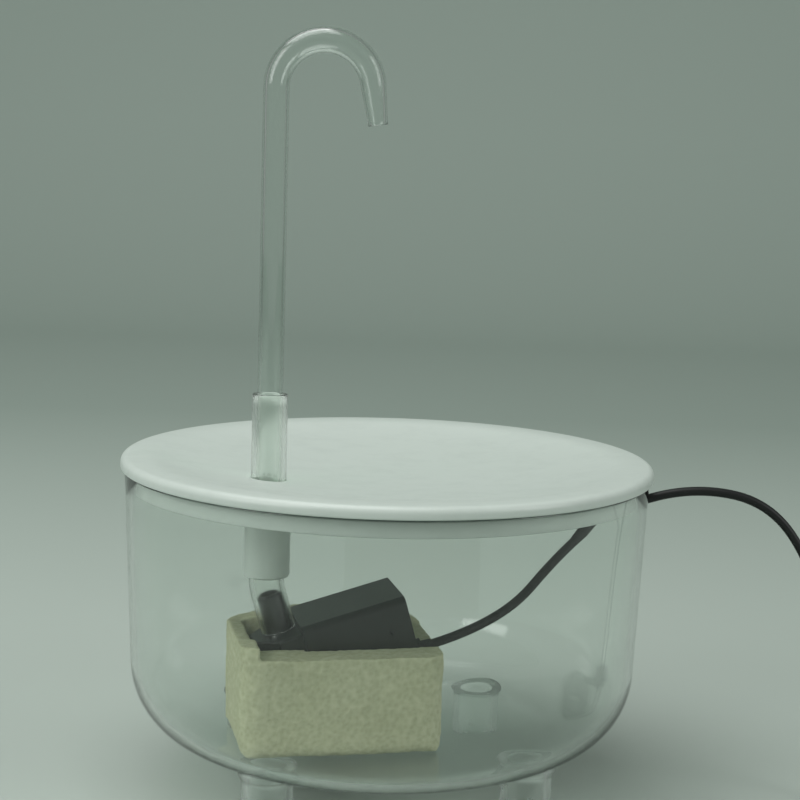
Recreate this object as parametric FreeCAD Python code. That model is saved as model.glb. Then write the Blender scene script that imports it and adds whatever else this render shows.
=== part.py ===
import FreeCAD, Part
import math
import os

# A pet water fountain: a clear round bowl on four short tube feet, a white dished
# lid on its rim, and a clear cane-shaped spout that stands in a soft hose. A small
# submersible pump lies tilted in a pocket sponge and its lead leaves by a rim notch.
# Millimetres. The origin is on the ground under the middle of the bowl, X to the
# right of the front view, Y to the back, Z up.

V = FreeCAD.Vector

# Bowl: one clear moulding, straight leaning wall, large rounded corner, flat floor
rim_radius = 100.0
bowl_height = 104.5
wall_thickness = 2.5
wall_lean = 2.3
corner_radius = 30.0
floor_thickness = 3.0
notch_depth = 12.5
notch_side_gap = 0.6

# Feet: clear tubes with a welded flare against the bowl
foot_height = 18.5
foot_radius = 9.5
foot_bore_radius = 6.8
foot_flare_radius = 10.7
foot_flare_height = 3.0
foot_circle_radius = 68.0
foot_first_angle = 53.6

# Lid: white dished tray with a lip inside the rim and a socket for the hose
lid_overhang = 1.5
lid_edge_height = 4.5
lid_edge_round = 2.6
lid_thickness = 2.4
lid_lip_depth = 7.0
lid_lip_thickness = 2.0
lid_lip_clearance = 0.4
lid_foot_chamfer = 0.6
lid_land_radius = 94.0
dish_depth = 8.0
dish_floor_radius = 60.0
dish_floor_rise = 3.1
dish_shoulder_radius = 86.0
dish_shoulder_drop = 1.0
dish_wall_bow = 0.40
dish_shoulder_bow = 0.25
socket_radius = 8.6
socket_end_height = 63.5
socket_chamfer = 1.2
drain_radius = 1.7
drain_circle_radius = 11.0
drain_spread = 24.0

# Spout: clear cane-shaped tube, drawn to a narrow tip
spout_x = -44.0
spout_y = -24.0
spout_radius = 4.75
spout_wall = 1.1
spout_foot_drop = 10.0
spout_bend_height = 142.0
spout_bend_radius = 17.5
spout_bend_turn = 171.5
spout_tip_length = 15.3
spout_tip_radius = 3.5
spout_fit = 0.05

# Hose: clear soft hose from above the lid down to the pump nozzle
hose_wall = 1.75
hose_rise = 30.5
hose_socket_gap = 0.3
hose_bend_radius = 24.0
hose_end_gap = 0.4

# Pump: tilted and turned box pump, its nose on the left with the nozzle on top
pump_tilt = 16.0
pump_turn = 12.0
nozzle_length = 15.0
nozzle_fit = 0.1
nozzle_wall = 1.4
nozzle_chamfer = 0.8
nose_front = 11.0
nose_length = 18.0
nose_half_depth = 15.0
nose_height = 24.0
nose_corner = 9.0
nose_edge_round = 1.0
box_length = 38.0
box_half_depth = 17.0
box_top = 3.0
box_height = 30.0
box_wall = 2.0
box_front_wall = 3.0
box_corner = 2.5
box_inner_corner = 1.0
end_plate_thickness = 2.0
axis_drop = 12.0
chamber_radius = 9.0
chamber_front_wall = 3.0
can_radius = 7.0
can_wall = 1.5
can_depth = 18.0
seal_radius = 10.5
seal_thickness = 1.4
seal_groove_gap = 0.1
inlet_radius = 7.0
inlet_gap = 0.15
inlet_slot_width = 1.4
inlet_slots = 6
grille_thickness = 2.4
grille_hub_radius = 2.6
grille_hub_rib = 0.6
grille_rim_rib = 1.0
impeller_radius = 8.0
impeller_blades = 6
blade_thickness = 1.0
blade_length = 4.0
blade_lean = 18.0
blade_root = 0.5
disc_thickness = 1.2
chamber_gap = 0.8
sleeve_radius = 2.4
magnet_radius = 6.2
magnet_length = 16.0
shaft_radius = 1.0
shaft_fit = 0.05
bush_radius = 1.9
bush_length = 1.8
bush_fit = 0.05
core_height = 9.0
core_half_width = 14.0
core_leg_inner = 5.0
core_leg_width = 4.0
core_yoke = 4.0
core_gap = 0.3
core_front_gap = 1.0
coil_thickness = 2.8
coil_gap = 0.3
coil_corner = 1.5
board_thickness = 1.2
board_half_width = 12.0
rectifier_size = (4.0, 5.0, 1.2)
rectifier_place = (1.5, -8.0)
regulator_size = (3.0, 4.0, 1.5)
regulator_place = (1.5, 4.0)
sensor_size = (2.0, 4.0, 0.8)
sensor_place = (7.0, -2.0)
gland_radius = 2.5
gland_flange_radius = 3.6
gland_flange_thickness = 2.0
gland_length = 6.0
gland_plug_length = 1.0
gland_tip_wall = 0.4
gland_side = -12.0
gland_drop = 19.0

# Sponge: soft block with a pocket for the pump
sponge_length = 76.0
sponge_depth = 56.0
sponge_front_height = 39.0
sponge_left_height = 44.0
sponge_back_left_height = 42.0
sponge_back_right_height = 50.5
sponge_peak_from_right = 16.7
sponge_right_step = 1.0
sponge_side_wall = 7.0
sponge_back_wall = 9.0
sponge_corner = 8.0
sponge_left = -50.0
sponge_front = -57.0
sponge_gap = 0.5
sponge_floor_gap = 0.3
sponge_foot_chamfer = 4.0

# Power lead: round lead, its coil, the tie round the coil and the plug
lead_diameter = 3.5
arc_share = 0.45
lead_first_run = 28.0
lead_last_run = 20.0
tail_first_run = 13.0
tail_middle_run = 18.0
tail_last_run = 13.0
tail_shift = 1.5
coil_center_x = 202.0
coil_center_y = -50.0
coil_inner_radius = 13.0
coil_pitch = 4.7
coil_layer_step = 4.4
coil_half_turns = 13
coil_lift = 1.2
coil_samples = 24
tie_thickness = 0.8
tie_width = 7.0
tie_gap = 0.3
tie_corner = 1.5
plug_width = 15.5
plug_height = 8.0
plug_length = 22.0
plug_corner = 2.0
plug_relief_length = 9.0
plug_relief_tip_wall = 0.3
plug_relief_root_wall = 1.4
plug_shell_width = 12.0
plug_shell_height = 4.5
plug_shell_length = 12.0
plug_shell_wall = 0.35
plug_seat_depth = 4.0
shell_hole_offset = 2.9
shell_hole_width = 2.2
shell_hole_setback = 5.0
tongue_thickness = 1.9
tongue_side_gap = 0.2
tongue_setback = 0.6
contact_count = 4
contact_width = 1.1
contact_thickness = 0.2
contact_pitch = 2.3
contact_setback = 2.0

# The lead's route after the gland, by hand: over the sponge, up to the rim notch,
# out in an arch and down to the ground, then along it to the coil.
lead_route = [
    (67.0, -9.0, 94.0),
    (87.5, -0.6, 109.8),
    (118.0, 0.6, 118.8),
    (148.0, 0.0, 113.5),
    (166.0, -1.5, 88.0),
    (172.5, -3.5, 56.0),
    (174.3, -5.0, 30.0),
    (175.0, -11.5, 10.0),
]

# Levels and radii that follow from the sizes above
rim_z = foot_height + bowl_height
floor_z = foot_height + floor_thickness
lean = math.radians(wall_lean)
hose_bore_radius = spout_radius + spout_fit
hose_radius = hose_bore_radius + hose_wall
nozzle_radius = hose_bore_radius - nozzle_fit
notch_radius = lead_diameter / 2 + notch_side_gap
lid_radius = rim_radius + lid_overhang
socket_bore_radius = hose_radius + hose_socket_gap
box_front = nose_length - nose_front
box_end = box_front + box_length
dish_bottom = lid_edge_height - dish_depth
socket_length = rim_z - floor_z - socket_end_height
lead_radius = lead_diameter / 2

# How far a cut runs past the face that it opens
spare = 1.0


def line(a, b):
    return Part.LineSegment(V(*a), V(*b)).toShape()


def arc(a, b, c):
    return Part.Arc(V(*a), V(*b), V(*c)).toShape()


def turned(edges):
    """A solid of revolution about Z from edges in the XZ plane."""
    wire = Part.Wire(edges)
    return Part.makeSolid(Part.Face(wire).revolve(V(0, 0, 0), V(0, 0, 1), 360))


def box(x0, x1, y0, y1, z0, z1):
    return Part.makeBox(x1 - x0, y1 - y0, z1 - z0, V(x0, y0, z0))


def rod_x(radius, x0, x1, y=0.0, z=0.0):
    return Part.makeCylinder(radius, x1 - x0, V(x0, y, z), V(1, 0, 0))


def rod_z(radius, z0, z1, x=0.0, y=0.0):
    return Part.makeCylinder(radius, z1 - z0, V(x, y, z0), V(0, 0, 1))


def round_edges(shape, radius, keep):
    edges = [e for e in shape.Edges if keep(e)]
    return shape.makeFillet(radius, edges)


def along(edge, axis):
    """True for a straight edge that runs along one axis, 0 for X to 2 for Z."""
    if len(edge.Vertexes) < 2:
        return False
    d = edge.Vertexes[1].Point - edge.Vertexes[0].Point
    return edge.Curve.TypeId == "Part::GeomLine" and abs(d[axis]) > 0.99 * d.Length


def bowl_corner(wall_in, floor_up, radius):
    """Centre and wall point of the corner arc of a bowl outline set in from outside."""
    zc = foot_height + floor_up + radius
    wall_x = rim_radius - wall_in / math.cos(lean) - (rim_z - zc) * math.tan(lean)
    xc = wall_x - radius / math.cos(lean)
    touch = (xc + radius * math.cos(lean), 0, zc - radius * math.sin(lean))
    middle = math.radians((90 - wall_lean) / 2 + wall_lean)
    mid = (xc + radius * math.cos(middle), 0, zc - radius * math.sin(middle))
    return xc, zc, touch, mid


def bowl_wall_radius(below_rim):
    """Inner radius of the bowl wall at a depth below the rim."""
    return rim_radius - wall_thickness / math.cos(lean) - below_rim * math.tan(lean)


def bowl_outline(wall_in, floor_up, radius):
    """Floor, corner and wall of one side of the bowl, from the axis up to the rim."""
    xc, zc, touch, mid = bowl_corner(wall_in, floor_up, radius)
    low = zc - radius
    top = (rim_radius - wall_in / math.cos(lean), 0, rim_z)
    return [line((0, 0, low), (xc, 0, low)), arc((xc, 0, low), mid, touch), line(touch, top)]


def bowl_outside():
    """Everything inside the outer face of the bowl, as one solid."""
    edges = bowl_outline(0, 0, corner_radius)
    edges.append(line((rim_radius, 0, rim_z), (0, 0, rim_z)))
    edges.append(line((0, 0, rim_z), (0, 0, foot_height)))
    return turned(edges)


def bowl():
    inner_radius = corner_radius - wall_thickness
    inside = bowl_outline(wall_thickness, floor_thickness, inner_radius)
    inner_top = (rim_radius - wall_thickness / math.cos(lean), 0, rim_z)
    edges = bowl_outline(0, 0, corner_radius)
    edges.append(line((rim_radius, 0, rim_z), inner_top))
    edges += list(reversed(inside))
    edges.append(line((0, 0, floor_z), (0, 0, foot_height)))
    shell = turned(edges)
    low = rim_z - notch_depth + notch_radius
    start = rim_radius - 4 * wall_thickness
    slot = rod_x(notch_radius, start, lid_radius, z=low)
    slot = slot.fuse(box(start, lid_radius, -notch_radius, notch_radius, low, rim_z + spare))
    return shell.cut(slot)


def foot(index):
    angle = math.radians(foot_first_angle + 90 * index)
    x = foot_circle_radius * math.cos(angle)
    y = foot_circle_radius * math.sin(angle)
    top = foot_height + corner_radius
    tube = rod_z(foot_radius, 0, top)
    flare = Part.makeCone(foot_radius, foot_flare_radius, foot_flare_height,
                          V(0, 0, foot_height - foot_flare_height))
    flare = flare.fuse(rod_z(foot_flare_radius, foot_height, top))
    bore = rod_z(foot_bore_radius, -spare, top + spare)
    piece = tube.fuse(flare).cut(bore)
    piece.translate(V(x, y, 0))
    return piece.cut(bowl_outside()).removeSplitter()


def dish_edges(drop):
    """The dished top of the lid from the axis to its land, lowered by drop."""
    base = rim_z - drop
    low = base + dish_bottom
    foot_z = low + dish_floor_rise
    land_z = base + lid_edge_height
    shoulder_z = land_z - dish_shoulder_drop
    half = dish_floor_radius / 2
    wall_mid_x = (dish_floor_radius + dish_shoulder_radius) / 2
    wall_mid_z = foot_z + dish_wall_bow * (shoulder_z - foot_z)
    roll_mid_x = (dish_shoulder_radius + lid_land_radius) / 2
    roll_mid_z = land_z - dish_shoulder_bow * dish_shoulder_drop
    shoulder = (dish_shoulder_radius, 0, shoulder_z)
    floor_end = (dish_floor_radius, 0, foot_z)
    return [
        arc((0, 0, low), (half, 0, low + dish_floor_rise / 4), floor_end),
        arc(floor_end, (wall_mid_x, 0, wall_mid_z), shoulder),
        arc(shoulder, (roll_mid_x, 0, roll_mid_z), (lid_land_radius, 0, land_z)),
    ]


def lid_tray():
    lip_outer = bowl_wall_radius(lid_lip_depth) - lid_lip_clearance
    lip_inner = lip_outer - lid_lip_thickness
    land_z = rim_z + lid_edge_height
    under_z = land_z - lid_thickness
    lip_z = rim_z - lid_lip_depth
    q = lid_edge_round * (1 - math.sqrt(0.5))
    foot_z = rim_z + lid_foot_chamfer
    foot_x = lid_radius - lid_foot_chamfer
    edges = dish_edges(0)
    edges.append(line((lid_land_radius, 0, land_z), (lid_radius - lid_edge_round, 0, land_z)))
    edges.append(arc((lid_radius - lid_edge_round, 0, land_z), (lid_radius - q, 0, land_z - q),
                     (lid_radius, 0, land_z - lid_edge_round)))
    edges.append(line((lid_radius, 0, land_z - lid_edge_round), (lid_radius, 0, foot_z)))
    edges.append(line((lid_radius, 0, foot_z), (foot_x, 0, rim_z)))
    edges.append(line((foot_x, 0, rim_z), (lip_outer, 0, rim_z)))
    edges.append(line((lip_outer, 0, rim_z), (lip_outer, 0, lip_z)))
    edges.append(line((lip_outer, 0, lip_z), (lip_inner, 0, lip_z)))
    edges.append(line((lip_inner, 0, lip_z), (lip_inner, 0, under_z)))
    edges.append(line((lip_inner, 0, under_z), (lid_land_radius, 0, under_z)))
    edges += list(reversed(dish_edges(lid_thickness)))
    edges.append(line((0, 0, rim_z + dish_bottom - lid_thickness), (0, 0, rim_z + dish_bottom)))
    tray = turned(edges)
    above = dish_edges(0)
    high = land_z + spare
    above.append(line((lid_land_radius, 0, land_z), (lid_land_radius, 0, high)))
    above.append(line((lid_land_radius, 0, high), (0, 0, high)))
    above.append(line((0, 0, high), (0, 0, rim_z + dish_bottom)))
    dish_space = turned(above)
    low = rim_z - socket_length
    boss = rod_z(socket_radius, low + socket_chamfer, rim_z, spout_x, spout_y)
    end = Part.makeCone(socket_radius - socket_chamfer, socket_radius, socket_chamfer,
                        V(spout_x, spout_y, low))
    boss = boss.fuse(end).cut(dish_space)
    tray = tray.fuse(boss)
    cuts = [rod_z(socket_bore_radius, low - spare, high, spout_x, spout_y)]
    for k in (-1, 0, 1):
        angle = math.radians(90 + k * drain_spread)
        x = spout_x + drain_circle_radius * math.cos(angle)
        y = spout_y + drain_circle_radius * math.sin(angle)
        cuts.append(rod_z(drain_radius, rim_z + dish_bottom - 2 * lid_thickness, high, x, y))
    return tray.cut(cuts).removeSplitter()


def cane(wall, stretch):
    """The spout's outline as a solid, taken in by a wall, with its ends stretched."""
    r = spout_radius - wall
    tip = spout_tip_radius - wall
    bend_z = rim_z + spout_bend_height
    foot_z = rim_z - spout_foot_drop - stretch
    riser = rod_z(r, foot_z, bend_z, spout_x, spout_y)
    ring = Part.Face(Part.Wire(Part.makeCircle(r, V(spout_x, spout_y, bend_z), V(0, 0, 1))))
    center_x = spout_x + spout_bend_radius
    bend = ring.revolve(V(center_x, spout_y, bend_z), V(0, 1, 0), spout_bend_turn)
    over = math.radians(180 - spout_bend_turn)
    end = V(center_x + spout_bend_radius * math.cos(over), spout_y,
            bend_z + spout_bend_radius * math.sin(over))
    way = V(math.sin(over), 0, -math.cos(over))
    nose = Part.makeCone(r, tip, spout_tip_length, end, way)
    piece = riser.fuse([bend, nose])
    if stretch:
        piece = piece.fuse(Part.makeCylinder(tip, stretch, end + way * spout_tip_length, way))
    return piece.removeSplitter()


def spout_tube():
    return cane(0, 0).cut(cane(spout_wall, spare))


def hose_bend():
    """End points and directions of the hose's bend towards the tilted nozzle."""
    turn = math.radians(pump_turn)
    tilt = math.radians(pump_tilt)
    side = V(math.cos(turn), math.sin(turn), 0)
    start = V(spout_x, spout_y, rim_z - socket_length)
    center = start + side * hose_bend_radius
    end = start + side * (hose_bend_radius * (1 - math.cos(tilt)))
    end = end + V(0, 0, -hose_bend_radius * math.sin(tilt))
    down = side * math.sin(tilt) + V(0, 0, -math.cos(tilt))
    return start, center, end, down, side


def hose_solid(radius, stretch):
    start, center, end, down, side = hose_bend()
    upper = rod_z(radius, start.z, rim_z + hose_rise + stretch, spout_x, spout_y)
    ring = Part.Face(Part.Wire(Part.makeCircle(radius, start, V(0, 0, 1))))
    bend = ring.revolve(center, V(0, 0, -1).cross(side), pump_tilt)
    length = nozzle_length - hose_end_gap + stretch
    lower = Part.makeCylinder(radius, length, end, down)
    return upper.fuse([bend, lower]).removeSplitter()


def delivery_hose():
    return hose_solid(hose_radius, 0).cut(hose_solid(hose_bore_radius, spare))


def pump_placement():
    """Places pump pieces: origin at the nozzle's foot, Z along the nozzle."""
    start, center, end, down, side = hose_bend()
    foot_point = end + down * nozzle_length
    tilt = FreeCAD.Rotation(V(0, 1, 0), -pump_tilt)
    turn = FreeCAD.Rotation(V(0, 0, 1), pump_turn)
    return FreeCAD.Placement(foot_point, turn.multiply(tilt))


def in_pump(shape):
    piece = shape.copy()
    piece.Placement = pump_placement().multiply(piece.Placement)
    return piece


def volute_cover():
    """The pump's nose: round pump chamber, inlet hole and the nozzle."""
    c = nose_corner
    d = nose_half_depth
    x0 = -nose_front
    points = [V(x0, -d + c, 0), V(x0 + c, -d, 0), V(box_front, -d, 0), V(box_front, d, 0),
              V(x0 + c, d, 0), V(x0, d - c, 0)]
    face = Part.Face(Part.makePolygon(points + points[:1]))
    body = face.extrude(V(0, 0, -nose_height))
    body = round_edges(body, nose_edge_round, lambda e: e.BoundBox.ZMin > -nose_edge_round / 2
                       and e.BoundBox.XMin < box_front - nose_edge_round)
    nozzle = rod_z(nozzle_radius, -spare, nozzle_length - nozzle_chamfer)
    nozzle = nozzle.fuse(Part.makeCone(nozzle_radius, nozzle_radius - nozzle_chamfer, nozzle_chamfer,
                                       V(0, 0, nozzle_length - nozzle_chamfer)))
    chamber = rod_x(chamber_radius, x0 + chamber_front_wall, box_front + spare, z=-axis_drop)
    inlet = rod_x(inlet_radius, x0 - spare, x0 + chamber_front_wall + spare, z=-axis_drop)
    outlet = rod_z(nozzle_radius - nozzle_wall, -axis_drop, nozzle_length + spare)
    return in_pump(body.fuse(nozzle).cut([chamber, inlet, outlet]).removeSplitter())


def inlet_grille():
    """Round slotted plate in the nose, with the hub that holds the front bush."""
    x0 = -nose_front
    plate = rod_x(inlet_radius - inlet_gap, x0, x0 + grille_thickness, z=-axis_drop)
    hub_end = x0 + chamber_front_wall + chamber_gap
    hub = rod_x(grille_hub_radius, x0, hub_end, z=-axis_drop)
    slots = []
    near = grille_hub_radius + grille_hub_rib
    far = inlet_radius - inlet_gap - grille_rim_rib
    for k in range(inlet_slots):
        slot = box(x0 - spare, x0 + grille_thickness + spare, near, far,
                   -inlet_slot_width / 2, inlet_slot_width / 2)
        slot.rotate(V(0, 0, 0), V(1, 0, 0), k * 360.0 / inlet_slots)
        slot.translate(V(0, 0, -axis_drop))
        slots.append(slot)
    seat = rod_x(bush_radius + bush_fit, hub_end - bush_length, hub_end + spare, z=-axis_drop)
    return in_pump(plate.fuse(hub).cut(slots + [seat]).removeSplitter())


def shaft_ends():
    front = -nose_front + chamber_front_wall + chamber_gap - bush_length
    back = box_front + can_depth
    return front, back


def bush(x0):
    ring = rod_x(bush_radius, x0, x0 + bush_length, z=-axis_drop)
    bore = rod_x(shaft_radius + shaft_fit, x0 - spare, x0 + bush_length + spare, z=-axis_drop)
    return in_pump(ring.cut(bore))


def front_bush():
    return bush(shaft_ends()[0])


def rear_bush():
    return bush(shaft_ends()[1] - bush_length)


def impeller_shaft():
    front, back = shaft_ends()
    return in_pump(rod_x(shaft_radius, front + bush_fit, back - bush_fit, z=-axis_drop))


def impeller():
    """Bladed disc on a long sleeve that carries the magnet."""
    front, back = shaft_ends()
    x0 = front + bush_length + chamber_gap
    sleeve_end = back - bush_length - chamber_gap
    sleeve = rod_x(sleeve_radius, x0, sleeve_end)
    disc = rod_x(impeller_radius, x0 + blade_length, x0 + blade_length + disc_thickness)
    parts = [disc]
    for k in range(impeller_blades):
        blade = box(x0, x0 + blade_length, sleeve_radius - blade_root, impeller_radius,
                    -blade_thickness / 2, blade_thickness / 2)
        blade.rotate(V(0, sleeve_radius, 0), V(1, 0, 0), blade_lean)
        blade = blade.common(rod_x(impeller_radius, x0, x0 + blade_length))
        blade.rotate(V(0, 0, 0), V(1, 0, 0), k * 360.0 / impeller_blades)
        parts.append(blade)
    wheel = sleeve.fuse(parts).cut(rod_x(shaft_radius + shaft_fit, x0 - spare, sleeve_end + spare))
    wheel.translate(V(0, 0, -axis_drop))
    return in_pump(wheel.removeSplitter())


def impeller_magnet():
    front, back = shaft_ends()
    x1 = back - bush_length - chamber_gap
    x0 = x1 - magnet_length
    ring = rod_x(magnet_radius, x0, x1, z=-axis_drop)
    return in_pump(ring.cut(rod_x(sleeve_radius, x0 - spare, x1 + spare, z=-axis_drop)))


def seal_ring(grown, x0, x1):
    """The ring of the cover seal, or of its groove when it is grown by the gap."""
    half = seal_thickness / 2 + grown
    outer = rod_x(seal_radius + half, x0, x1, z=-axis_drop)
    return outer.cut(rod_x(seal_radius - half, x0 - spare, x1 + spare, z=-axis_drop))


def pump_housing():
    """Box shell with the blind rotor can; its open end is closed by the plate."""
    z0 = box_top - box_height
    d = box_half_depth
    shell = box(box_front, box_end, -d, d, z0, box_top)
    shell = round_edges(shell, box_corner, lambda e: along(e, 0))
    hollow = box(box_front + box_front_wall, box_end + spare, -d + box_wall, d - box_wall,
                 z0 + box_wall, box_top - box_wall)
    hollow = round_edges(hollow, box_inner_corner, lambda e: along(e, 0))
    can_bottom = box_front + can_depth
    can = rod_x(can_radius + can_wall, box_front, can_bottom + can_wall, z=-axis_drop)
    bore = rod_x(can_radius, box_front - spare, can_bottom, z=-axis_drop)
    groove = seal_ring(seal_groove_gap, box_front - spare, box_front + seal_thickness)
    piece = shell.cut(hollow).fuse(can).cut([bore, groove])
    seat = rod_x(bush_radius, can_bottom - bush_length, can_bottom, z=-axis_drop)
    ring = rod_x(bush_radius + can_wall, can_bottom - bush_length, can_bottom, z=-axis_drop)
    return in_pump(piece.fuse(ring.cut(seat)).removeSplitter())


def pump_end_plate():
    z0 = box_top - box_height
    d = box_half_depth
    plate = box(box_end, box_end + end_plate_thickness, -d, d, z0, box_top)
    plate = round_edges(plate, box_corner, lambda e: along(e, 0))
    hole = rod_x(gland_radius, box_end - spare, box_end + end_plate_thickness + spare,
                 gland_side, -gland_drop)
    return in_pump(plate.cut(hole))


def cover_seal():
    """Square-cut seal ring in the housing's groove, held by the cover."""
    return in_pump(seal_ring(0, box_front, box_front + seal_thickness))


def stator_core():
    """U-shaped laminated core: two legs whose ends embrace the rotor can."""
    can_end = box_front + can_depth + can_wall
    x0 = box_front + box_front_wall + core_front_gap
    x_leg = can_end + 2 * core_gap
    x1 = box_end - core_gap
    h = core_height / 2
    w = core_half_width
    leg_out = core_leg_inner + core_leg_width
    plate = box(x0, x_leg + core_front_gap, -w, w, -h, h)
    legs = [box(x_leg, x1, -leg_out, -core_leg_inner, -h, h),
            box(x_leg, x1, core_leg_inner, leg_out, -h, h)]
    yoke = box(x1 - core_yoke, x1, -leg_out, leg_out, -h, h)
    room = rod_x(can_radius + can_wall + core_gap, x0 - spare, x_leg)
    between = box(x_leg - spare, x_leg + 2 * spare, -core_leg_inner, core_leg_inner,
                  -h - spare, h + spare)
    core = plate.cut([room, between]).fuse(legs + [yoke]).removeSplitter()
    core.translate(V(0, 0, -axis_drop))
    return in_pump(core)


def coil_range():
    can_end = box_front + can_depth + can_wall
    return can_end + 3 * core_gap + core_front_gap, box_end - 2 * core_gap - core_yoke


def stator_coil(side):
    x0, x1 = coil_range()
    t = coil_thickness
    h = core_height / 2 + coil_gap
    low = core_leg_inner - coil_gap
    high = core_leg_inner + core_leg_width + coil_gap
    outer = box(x0, x1, low - t, high + t, -h - t, h + t)
    outer = round_edges(outer, coil_corner, lambda e: along(e, 0))
    coil = outer.cut(box(x0 - spare, x1 + spare, low, high, -h, h))
    if side < 0:
        coil = coil.mirror(V(0, 0, 0), V(0, 1, 0))
    coil.translate(V(0, 0, -axis_drop))
    return in_pump(coil)


def driver_board():
    """Small circuit board on top of the coils, with its chips."""
    x0, x1 = coil_range()
    z0 = -axis_drop + core_height / 2 + 2 * coil_gap + coil_thickness
    w = board_half_width
    top = z0 + board_thickness
    board = box(x0, x1 + core_yoke, -w, w, z0, top)
    chips = []
    for size, place in ((rectifier_size, rectifier_place), (regulator_size, regulator_place),
                        (sensor_size, sensor_place)):
        x = x0 + place[0]
        y = place[1]
        chips.append(box(x, x + size[0], y, y + size[1], top, top + size[2]))
    return in_pump(board.fuse(chips).removeSplitter())


def cable_gland():
    start = box_end + end_plate_thickness
    plug = rod_x(gland_radius, box_end - gland_plug_length, start, gland_side, -gland_drop)
    flange = rod_x(gland_flange_radius, start, start + gland_flange_thickness, gland_side, -gland_drop)
    taper = Part.makeCone(gland_radius, lead_radius + gland_tip_wall,
                          gland_length - gland_flange_thickness,
                          V(start + gland_flange_thickness, gland_side, -gland_drop), V(1, 0, 0))
    return in_pump(plug.fuse([flange, taper]).removeSplitter())


def wall_plate(points, push):
    face = Part.Face(Part.makePolygon([V(*p) for p in points + points[:1]]))
    return face.extrude(V(*push))


def filter_sponge():
    """Soft block with higher back and sides and a pocket for the pump."""
    lx = sponge_length
    ly = sponge_depth
    right_height = sponge_front_height + sponge_right_step
    block = box(0, lx, 0, ly, 0, sponge_front_height)
    back = wall_plate([(0, ly, 0), (lx, ly, 0), (lx, ly, right_height),
                       (lx - sponge_peak_from_right, ly, sponge_back_right_height),
                       (0, ly, sponge_back_left_height)], (0, -sponge_back_wall, 0))
    left = wall_plate([(0, 0, 0), (0, ly, 0), (0, ly, sponge_back_left_height),
                       (0, 0, sponge_left_height)], (sponge_side_wall, 0, 0))
    right = wall_plate([(lx, 0, 0), (lx, ly, 0), (lx, ly, right_height)],
                       (-2 * sponge_side_wall, 0, 0))
    piece = block.fuse([back, left, right])
    rounded = round_edges(box(0, lx, 0, ly, -spare, 2 * sponge_back_right_height), sponge_corner,
                          lambda e: along(e, 2))
    chamfered = round_edges(box(0, lx, 0, ly, 0, 2 * sponge_back_right_height), sponge_foot_chamfer,
                            lambda e: e.BoundBox.ZMax < sponge_foot_chamfer / 2)
    piece = piece.common(rounded).common(chamfered)
    turn = FreeCAD.Placement(V(sponge_left, sponge_front, floor_z + sponge_floor_gap),
                             FreeCAD.Rotation(V(0, 0, 1), pump_turn))
    piece.Placement = turn.multiply(piece.Placement)
    g = sponge_gap
    end = box_end + end_plate_thickness
    low = box_top - box_height
    high = 3 * box_height
    pocket = box(box_front - g, end + g, -box_half_depth - g, box_half_depth + g, low - g, high)
    nose = box(-nose_front - g, box_front, -nose_half_depth - g, nose_half_depth + g,
               -nose_height - g, high)
    slit = gland_flange_radius + g
    way = rod_x(slit, end, 3 * end, gland_side, -gland_drop)
    way = way.fuse(box(end, 3 * end, gland_side - slit, gland_side + slit, -gland_drop, high))
    cuts = [in_pump(pocket), in_pump(nose), in_pump(way)]
    solids = piece.cut(cuts).Solids
    return sorted(solids, key=lambda s: s.Volume)[-1]


def corner_arc(p, q, s, length):
    """Tangent arc at corner q, with its two points at a length from q, and its radius."""
    a = (p - q).normalize()
    b = (s - q).normalize()
    turn = math.pi - a.getAngle(b)
    start = q + a * length
    end = q + b * length
    middle = (start + end) * 0.5
    sag = (end - start).Length / 2 * math.tan(turn / 4)
    top = middle + (q - middle).normalize() * sag
    return start, top, end, length / math.tan(turn / 2)


def lead_path(points, name):
    """Straight runs joined by tangent arcs, as large as the runs allow."""
    edges = []
    radii = []
    here = points[0]
    for k in range(1, len(points) - 1):
        p, q, s = points[k - 1], points[k], points[k + 1]
        reach = arc_share * min((q - p).Length, (s - q).Length)
        start, top, end, radius = corner_arc(p, q, s, reach)
        radii.append(round(radius, 1))
        edges.append(Part.LineSegment(here, start).toShape())
        edges.append(Part.Arc(start, top, end).toShape())
        here = end
    edges.append(Part.LineSegment(here, points[-1]).toShape())
    length = sum(e.Length for e in edges)
    runs = [round((b - a).Length, 1) for a, b in zip(points, points[1:])]
    print(name, "runs", runs, "radii", radii, "length", round(length, 1))
    return edges, length


def lead_tube(points, name):
    edges, length = lead_path(points, name)
    wire = Part.Wire(edges)
    way = (points[1] - points[0]).normalize()
    ring = Part.Wire(Part.makeCircle(lead_radius, points[0], way))
    tube = wire.makePipeShell([ring], True, False)
    whole = math.pi * lead_radius ** 2 * length
    print(name, "volume", round(tube.Volume, 1), "section times length", round(whole, 1))
    return tube


def coil_nodes():
    """One point for each half turn: in along the ground layer, out along the upper one."""
    half_step = coil_pitch / 2
    climb = coil_half_turns // 2
    outer = coil_inner_radius + climb * half_step
    low = coil_lift + lead_radius
    points = []
    for k in range(coil_half_turns + 1):
        if k <= climb:
            r = outer - k * half_step
            z = low
        else:
            r = coil_inner_radius + (k - climb - 1) * half_step
            z = low + coil_layer_step
        side = -1 if k % 2 == 0 else 1
        points.append(V(coil_center_x + side * r, coil_center_y, z))
    return points


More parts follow.
